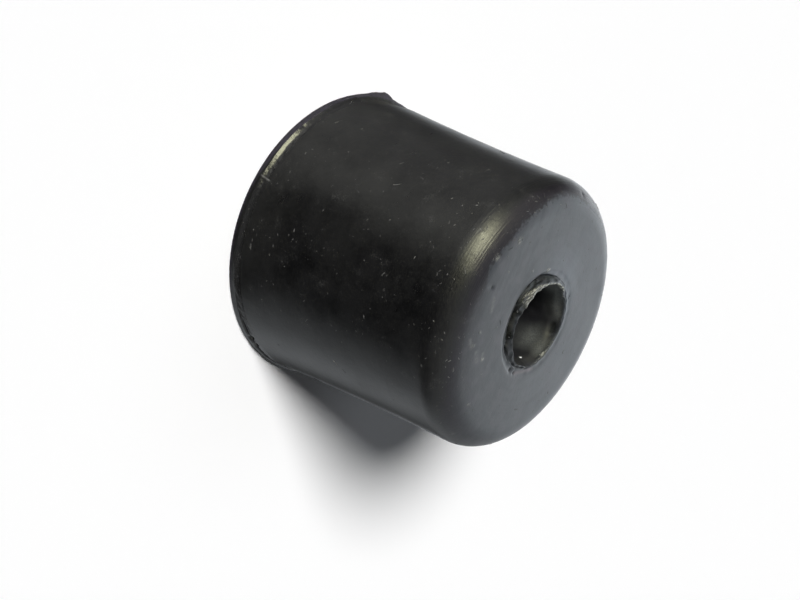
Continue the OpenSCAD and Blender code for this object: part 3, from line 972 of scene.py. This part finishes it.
def flakesTree(s):
    # small uneven flakes strewn over the start mesh by a mask, flat side down
    tree, g, out = newTree("strewnFlakes", "GeometryNodeTree", {
        "Surface": "NodeSocketGeometry", "Where": "NodeSocketString", "Density": 0.0, "Smallest": 0.0,
        "Largest": 0.0, "Stretch": 1.0, "Thickness": 0.4, "Clumping": 0.5, "Clump Size": 0.004,
        "Swing": math.pi, "Seed": 0, "Finish": "NodeSocketMaterial"}, "Flakes", "NodeSocketGeometry")
    place = addNode(tree, "GeometryNodeInputPosition").outputs[0]
    clump = noiseAt(tree, place, maths(tree, "DIVIDE", 1.0, g["Clump Size"]), 2.0)
    clumpFull = gather(tree, s["clumpTo"][0], (g["Clumping"], s["clumpTo"][1]))
    clumped = ramp(tree, clump, times(tree, g["Clumping"], s["clumpFrom"]), clumpFull)
    density = times(tree, maskNamed(tree, g["Where"]), clumped, g["Density"])
    # most flakes are near the smallest size, and each draw has a seed of its own
    share = maths(tree, "POWER", randomIn(tree, 0.0, 1.0, g["Seed"]), s["sizeBias"])
    size = atShare(tree, share, g["Smallest"], g["Largest"])
    long = randomIn(tree, 1.0, g["Stretch"], plus(tree, g["Seed"], 7.0))
    inputs = {0: times(tree, size, long), 1: size, 2: times(tree, size, g["Thickness"])}
    scale = addNode(tree, "ShaderNodeCombineXYZ", inputs).outputs[0]
    spin = randomIn(tree, times(tree, g["Swing"], -1.0), g["Swing"], plus(tree, g["Seed"], 3.0))
    flake = addNode(tree, "GeometryNodeMeshIcoSphere", {"Radius": 0.5, "Subdivisions": 1}).outputs["Mesh"]
    real = strew(tree, g, density, flake, spin, scale)
    jag = noiseAt(tree, place, s["jagScale"], 1.0, "Color")
    jag = vectorMaths(tree, "SUBTRACT", {0: jag, 1: (0.5, 0.5, 0.5)})
    jag = vectorMaths(tree, "SCALE", {0: jag, "Scale": times(tree, g["Largest"], s["jag"])})
    jagged = addNode(tree, "GeometryNodeSetPosition", {"Geometry": real, "Offset": jag}).outputs[0]
    return finishTree(tree, out, jagged, g["Finish"])


def fibresTree():
    # short curved hairs of lint lying on the start mesh
    tree, g, out = newTree("strewnFibres", "GeometryNodeTree", {
        "Surface": "NodeSocketGeometry", "Where": "NodeSocketString", "Density": 0.0, "Shortest": 0.0,
        "Longest": 0.0, "Width": 0.00005, "Seed": 0, "Finish": "NodeSocketMaterial"},
        "Fibres", "NodeSocketGeometry")
    density = times(tree, maskNamed(tree, g["Where"]), g["Density"])
    length = randomIn(tree, g["Shortest"], g["Longest"], g["Seed"])
    spin = randomIn(tree, 0.0, 2 * math.pi, plus(tree, g["Seed"], 3.0))
    hair = addNode(tree, "GeometryNodeCurveQuadraticBezier", {"Resolution": 6, "Start": (-0.5, -0.02, 0),
                   "Middle": (0.05, 0.08, 0), "End": (0.5, -0.04, 0)}).outputs[0]
    # the profile is cut for a hair 1 long, and grows with it
    thick = maths(tree, "DIVIDE", g["Width"], plus(tree, g["Shortest"], g["Longest"]))
    inputs = {"Resolution": 5, "Radius": thick}
    profile = addNode(tree, "GeometryNodeCurvePrimitiveCircle", inputs).outputs[0]
    inputs = {"Curve": hair, "Profile Curve": profile, "Fill Caps": True}
    strand = addNode(tree, "GeometryNodeCurveToMesh", inputs).outputs[0]
    return finishTree(tree, out, strew(tree, g, density, strand, spin, length), g["Finish"])


crumbLook = {
    "tone": (0.9, 2.0), "toneStep": (0.38, 0.68),
    "powder": {"Patch Size": 0.6, "Speck Size": 0.08, "Cover": 0.6}, "powderShare": 0.2,
    "powderColour": (0.16, 0.16, 0.15, 1),
    "grain": {"Along": 0.5, "Across": 0.1}, "relief": 0.02,
}


def crumbMaterial(name, dark, pale, roughness, s):
    # dust, lint and torn crumbs: two tones mixed from speck to speck
    material, tree = newMaterial(name)
    point = pointInMm(tree)
    tone = ramp(tree, noiseAt(tree, point, *s["tone"]), *s["toneStep"])
    powder = times(tree, placeGroup(tree, dust, {"Point": point, **s["powder"]}), s["powderShare"])
    colour = mixColour(tree, powder, mixColour(tree, tone, dark, pale), s["powderColour"])
    height = times(tree, placeGroup(tree, grain, {"Point": point, **s["grain"]}), s["relief"])
    bumps = addNode(tree, "ShaderNodeBump", {"Height": height, "Distance": mm}).outputs[0]
    shader = addNode(tree, "ShaderNodeBsdfPrincipled", {"Base Color": colour, "Roughness": roughness,
                     "Normal": bumps}).outputs[0]
    addNode(tree, "ShaderNodeOutputMaterial", {"Surface": shader})
    return material


dustFinish = crumbMaterial("paleDust", (0.020, 0.020, 0.020, 1), (0.080, 0.080, 0.076, 1), 0.55, crumbLook)
lintFinish = crumbMaterial("greyLint", (0.018, 0.018, 0.019, 1), (0.10, 0.10, 0.097, 1), 0.65, crumbLook)
tornFinish = crumbMaterial("tornRubber", (0.02, 0.02, 0.018, 1), (0.34, 0.34, 0.28, 1), 0.4, crumbLook)

flakes = flakesTree(flakeShape)
fibres = fibresTree()
strewnPieces = {
    "fineDust": (flakes, {
        "Where": "dusty", "Density": 7.0e5, "Smallest": 0.05 * mm, "Largest": 0.16 * mm, "Stretch": 3.4,
        "Thickness": 0.2, "Clumping": 0.7, "Clump Size": 3.4 * mm, "Swing": 1.1, "Seed": 5,
        "Finish": dustFinish}),
    "coarseDust": (flakes, {
        "Where": "dusty", "Density": 3.6e4, "Smallest": 0.12 * mm, "Largest": 0.32 * mm, "Stretch": 4.0,
        "Thickness": 0.12, "Clumping": 0.6, "Clump Size": 7.0 * mm, "Swing": 0.5, "Seed": 12,
        "Finish": dustFinish}),
    "lintFibres": (fibres, {
        "Where": "dusty", "Density": 1.4e4, "Shortest": 0.4 * mm, "Longest": 1.0 * mm, "Width": 0.07 * mm,
        "Seed": 4, "Finish": lintFinish}),
    "tornCrumbs": (flakes, {
        "Where": "torn", "Density": 1.4e7, "Smallest": 0.04 * mm, "Largest": 0.12 * mm, "Stretch": 3.0,
        "Thickness": 0.5, "Clumping": 0.3, "Clump Size": 1.0 * mm, "Swing": 3.0, "Seed": 9,
        "Finish": tornFinish}),
}
pieces = [body]
for pieceName, (strewnTree, values) in strewnPieces.items():
    pieces.append(madePlain(pieceName, body.data.copy(), strewnTree, values))
    print("%s: %d faces" % (pieceName, len(pieces[-1].data.polygons)))
for piece in pieces:
    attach(piece, "root")
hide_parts("rubber_body")


floorSettings = {"size": 3.0, "drop": 0.03 * mm, "colour": (0.6, 0.6, 0.61), "seenColour": (1.0, 1.0, 1.0),
                 "lift": 0.01}


def floorMaterial(s):
    material, tree = newMaterial("paleFloor")
    seen = addNode(tree, "ShaderNodeLightPath").outputs["Is Camera Ray"]
    colour = mixColour(tree, seen, (*s["colour"], 1), (*s["seenColour"], 1))
    card = addNode(tree, "ShaderNodeBsdfDiffuse", {"Color": colour}).outputs[0]
    glow = addNode(tree, "ShaderNodeEmission", {"Strength": times(tree, seen, s["lift"])}).outputs[0]
    both = addNode(tree, "ShaderNodeAddShader", {0: card, 1: glow}).outputs[0]
    addNode(tree, "ShaderNodeOutputMaterial", {"Surface": both})
    return material


def makeFloor(s):
    half = s["size"] / 2
    corners = [(x * half, y * half, -s["drop"]) for x, y in ((-1, -1), (1, -1), (1, 1), (-1, 1))]
    mesh = bpy.data.meshes.new("floor")
    mesh.from_pydata(corners, [], [(0, 1, 2, 3)])
    mesh.materials.append(floorMaterial(s))
    floor = bpy.data.objects.new("floor", mesh)
    bpy.context.scene.collection.objects.link(floor)
    floor.visible_glossy = False      # the rubber's gloss sees the studio's panels in its place
    print("floor laid")


# The lamps throw the soft shadow and light colours. Gloss comes from the studio's panels below.
# Each lamp's level is its share of the light on the floor, and its spread is how soft it is, in degrees.
lamps = {
    "key": {"turn": -123, "lift": 38, "level": 0.92, "spread": 20, "colour": (1.0, 0.995, 0.99)},
    "fill": {"turn": 172, "lift": 60, "level": 0.045, "spread": 34, "colour": (0.93, 0.98, 1.05)},
}
lampDistance = 0.5    # such a lamp shines the same from any distance
# A small lamp reaches a little way into the bore. It is aimed at a spot in the mouth, at a turn and radius.
mouthLamp = {"turn": 20, "lift": 50, "distance": 60 * mm, "level": 3.4, "cone": 5.4, "blend": 0.7,
             "size": 4 * mm, "aimTurn": 157, "aimRadius": 3.0 * mm, "colour": (0.93, 0.98, 1.03)}


def direction(turn, lift):
    # turn in degrees from +X towards +Y, lift in degrees above the floor
    turn, lift = math.radians(turn), math.radians(lift)
    return Vector((math.cos(lift) * math.cos(turn), math.cos(lift) * math.sin(turn), math.sin(lift)))


def hangLamp(light, aim, distance, s):
    light.color = s["colour"]
    towards = direction(s["turn"], s["lift"])
    lamp = bpy.data.objects.new(light.name, light)
    lamp.location = aim + towards * distance
    lamp.rotation_euler = towards.to_track_quat("Z", "Y").to_euler()
    lamp.visible_glossy = False
    bpy.context.scene.collection.objects.link(lamp)
    print("lamp hung: %s" % light.name)


def makeLamp(name, s):
    light = bpy.data.lights.new(name, "SUN")
    light.energy = s["level"] * math.pi / math.sin(math.radians(s["lift"]))
    light.angle = math.radians(s["spread"])
    hangLamp(light, Vector((0, 0, 0)), lampDistance, s)


def makeMouthLamp(s):
    light = bpy.data.lights.new("mouthLamp", "SPOT")
    light.energy = s["level"] * 4 * math.pi ** 2 * s["distance"] ** 2
    light.spot_size = math.radians(s["cone"])
    light.spot_blend = s["blend"]
    light.shadow_soft_size = s["size"]
    aim = direction(s["aimTurn"], 0) * s["aimRadius"] + Vector((0, 0, crestHeight))
    hangLamp(light, aim, s["distance"], s)


# Soft panels round the body, as its gloss sees them: turn and lift of the middle, half width of the
# full part and of the faded rim in degrees, strength, tint.
coolTint = (0.95, 1.0, 1.04)
warmTint = (1.0, 0.99, 0.68)
panels = {
    "farWindow": (106, 26, 8, 37.5, 1.26, coolTint),
    "farWall": (98, -11, 10, 43, 1.6, coolTint),
    "tableSide": (11, -41, 10, 34, 0.49, coolTint),
    "sideLow": (27, -12, 10, 34, 0.30, coolTint),
    "sideWindow": (40, 25, 10, 55, 0.57, coolTint),
    "nearWall": (-150, -28, 10, 46, 0.22, (1, 1, 1)),
    "highCorner": (-165, 45, 10, 50, 0.7, (1, 1, 1)),
    "ceiling": (0, 85, 10, 50, 0.2, coolTint),
    "lowGlow": (-132, -6, 5, 32, 1.1, (1, 1, 0.94)),
    "leftWall": (172, -22, 12, 38, 0.15, (1, 1, 1)),
    "frontHigh": (-40, 40, 10, 50, 0.2, (1, 1, 1)),
    "highWindow": (45, 80, 5, 28, 0.30, coolTint),
    "softBoxLow": (-130, 17, 6, 17, 7.0, warmTint),
    "softBoxMid": (-131, 30, 6, 17, 7.0, warmTint),
    "softBoxHigh": (-133, 43, 6, 17, 7.0, warmTint),
}
studioLevels = {"ambient": 0.022, "ambientColour": (0.92, 0.98, 1.08), "unlit": 0.02,
                "backdrop": (1, 1, 1, 1)}


def makeStudio(levels):
    world = bpy.data.worlds.new("studio")
    world.use_nodes = True
    tree = world.node_tree
    tree.nodes.clear()
    look = addNode(tree, "ShaderNodeTexCoord").outputs["Generated"]
    total = addNode(tree, "ShaderNodeCombineXYZ", {i: levels["unlit"] for i in range(3)}).outputs[0]
    for turn, lift, full, faded, strength, tint in panels.values():
        facing = vectorMaths(tree, "DOT_PRODUCT", {0: look, 1: direction(turn, lift)}, "Value")
        share = ramp(tree, facing, math.cos(math.radians(faded)), math.cos(math.radians(full)), 0, strength)
        glow = vectorMaths(tree, "SCALE", {0: tint, "Scale": share})
        total = vectorMaths(tree, "ADD", {0: total, 1: glow})
    path = addNode(tree, "ShaderNodeLightPath").outputs
    ambient = [levels["ambient"] * c for c in levels["ambientColour"]]
    lit = mixColour(tree, path["Is Glossy Ray"], (*ambient, 1), total)
    seen = mixColour(tree, path["Is Camera Ray"], lit, levels["backdrop"])
    sky = addNode(tree, "ShaderNodeBackground", {"Color": seen}).outputs[0]
    addNode(tree, "ShaderNodeOutputWorld", {"Surface": sky})
    bpy.context.scene.world = world
    print("studio painted: %d panels" % len(panels))


cameraSettings = {
    "place": (0.0, -93.25 * mm, 80.35 * mm),
    "lookDown": 36.04, "swing": -2.61, "roll": 115.74,   # degrees
    "lens": 42.3, "sensor": 36, "nearest": 0.005, "farthest": 20,
}


def makeCamera(s):
    data = bpy.data.cameras.new("camera")
    data.lens = s["lens"]
    data.sensor_width = s["sensor"]
    data.clip_start, data.clip_end = s["nearest"], s["farthest"]
    camera = bpy.data.objects.new("camera", data)
    turn = (Matrix.Rotation(math.radians(s["swing"]), 4, "Z")
            @ Matrix.Rotation(math.radians(90 - s["lookDown"]), 4, "X")
            @ Matrix.Rotation(math.radians(s["roll"]), 4, "Z"))
    camera.matrix_world = Matrix.Translation(s["place"]) @ turn
    bpy.context.scene.collection.objects.link(camera)
    bpy.context.scene.camera = camera
    print("camera placed")


makeFloor(floorSettings)
for lampName, lampSettings in lamps.items():
    makeLamp(lampName, lampSettings)
makeMouthLamp(mouthLamp)
makeStudio(studioLevels)
makeCamera(cameraSettings)
bpy.context.scene.view_settings.view_transform = "Standard"

bpy.context.view_layer.update()
